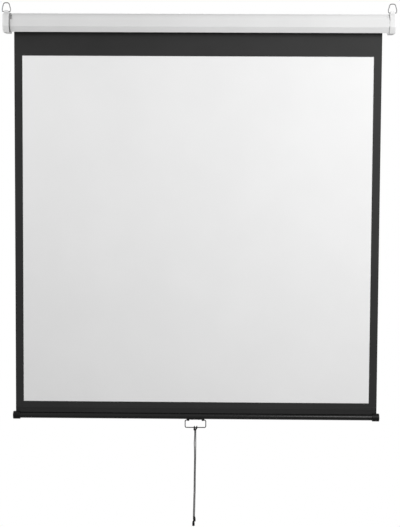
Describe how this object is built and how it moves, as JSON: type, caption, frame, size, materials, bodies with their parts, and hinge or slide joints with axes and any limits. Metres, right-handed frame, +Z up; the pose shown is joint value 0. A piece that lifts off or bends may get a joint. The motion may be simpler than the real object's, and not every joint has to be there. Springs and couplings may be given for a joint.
{
  "type": "pull-down projection screen",
  "caption": "Wall-hung pull-down projection screen: white casing with a spring roller, white fabric with a black border, round weight bar, wire hangers, wire handle and pull cord.",
  "frame": {"origin": "the middle of the casing's flat back face, where it lies on the wall", "axes": "+X along the casing to the viewers' right, -Y towards the viewers, +Z up"},
  "size_m": [1.6024, 0.075, 2.1608],
  "materials": {
    "case_paint": "satin powder coat",
    "cap_plastic": "satin moulded plastic",
    "bracket_steel": "zinc plated",
    "screw_steel": "zinc plated",
    "hanger_wire": "bright zinc",
    "roller_steel": "galvanised",
    "lock_steel": "oiled steel",
    "spring_steel": "oiled spring steel",
    "plug_plastic": "natural nylon",
    "screen_white": "matt white",
    "screen_black": "matt black",
    "bar_black": "satin black",
    "rod_steel": "drawn",
    "black_plastic": "fine grain",
    "black_screw": "black oxide",
    "handle_wire": "dark zinc",
    "black_cord": "braided"
  },
  "bodies": {
    "case": {"case_tube": "case_paint", "end_cap_left": "cap_plastic", "end_cap_right": "cap_plastic", "cap_screws": "screw_steel", "idler_bracket": "bracket_steel", "spring_bracket": "bracket_steel", "idler_bush": "plug_plastic", "spring_shaft": "lock_steel", "ratchet_wheel": "lock_steel", "ratchet_pin": "lock_steel", "spring_anchor": "plug_plastic", "anchor_pin": "lock_steel", "drive_spring": "spring_steel", "screen_sheet": "screen_white", "black_border": "screen_black"},
    "roller": {"roller_tube": "roller_steel", "fabric_roll": "screen_white", "idler_plug": "plug_plastic", "idler_pin": "lock_steel", "spring_end_plug": "plug_plastic", "pawl_pins": "lock_steel", "pawl_cover": "lock_steel"},
    "pawl_upper": {"pawl_upper": "lock_steel"},
    "pawl_lower": {"pawl_lower": "lock_steel"},
    "hanger_left": {"hanger_left": "hanger_wire"},
    "hanger_right": {"hanger_right": "hanger_wire"},
    "bar": {"bottom_bar": "bar_black", "hem_strip": "screen_black", "hem_rod": "rod_steel", "bar_cap_left": "black_plastic", "bar_cap_right": "black_plastic", "handle_bracket": "black_plastic", "bracket_screws": "black_screw"},
    "handle": {"pull_handle": "handle_wire"},
    "cord": {"cord_knot": "black_cord", "pull_cord_a": "black_cord", "pull_cord_b": "black_cord", "cord_tip_a": "black_plastic", "cord_tip_b": "black_plastic"}
  },
  "joints": [
    {"name": "screen_lift", "type": "slide", "parent": "case", "child": "bar", "axis": [0, 0, 1], "range_m": [0, 1.5613], "deforming": ["screen_sheet", "black_border"]},
    {"name": "roller_spin", "type": "hinge", "parent": "case", "child": "roller", "pos_m": [0, -0.0385, 0.002], "axis": [1, 0, 0], "range_deg": [0, 3870], "deforming": ["drive_spring"]},
    {"name": "pawl_upper_drop", "type": "hinge", "parent": "roller", "child": "pawl_upper", "pos_m": [0.754, -0.03, 0.0132], "axis": [1, 0, 0], "range_deg": [0, 14]},
    {"name": "pawl_lower_drop", "type": "hinge", "parent": "roller", "child": "pawl_lower", "pos_m": [0.754, -0.047, -0.0092], "axis": [1, 0, 0], "range_deg": [0, 14]},
    {"name": "hanger_left_swing", "type": "hinge", "parent": "case", "child": "hanger_left", "pos_m": [-0.7825, -0.035, 0.046], "axis": [1, 0, 0], "range_deg": [-90, 90]},
    {"name": "hanger_right_swing", "type": "hinge", "parent": "case", "child": "hanger_right", "pos_m": [0.7825, -0.035, 0.046], "axis": [1, 0, 0], "range_deg": [-90, 90]},
    {"name": "handle_swing", "type": "hinge", "parent": "bar", "child": "handle", "pos_m": [-0.006, -0.01808, -1.6283], "axis": [1, 0, 0], "range_deg": [-80, 80]},
    {"name": "cord_swing", "type": "hinge", "parent": "handle", "child": "cord", "pos_m": [-0.0065, -0.01808, -1.659], "axis": [1, 0, 0], "range_deg": [-40, 40]}
  ],
  "couplings": [
    {"joint": "roller_spin", "follows": "screen_lift", "rad_per_m": 43.261}
  ]
}
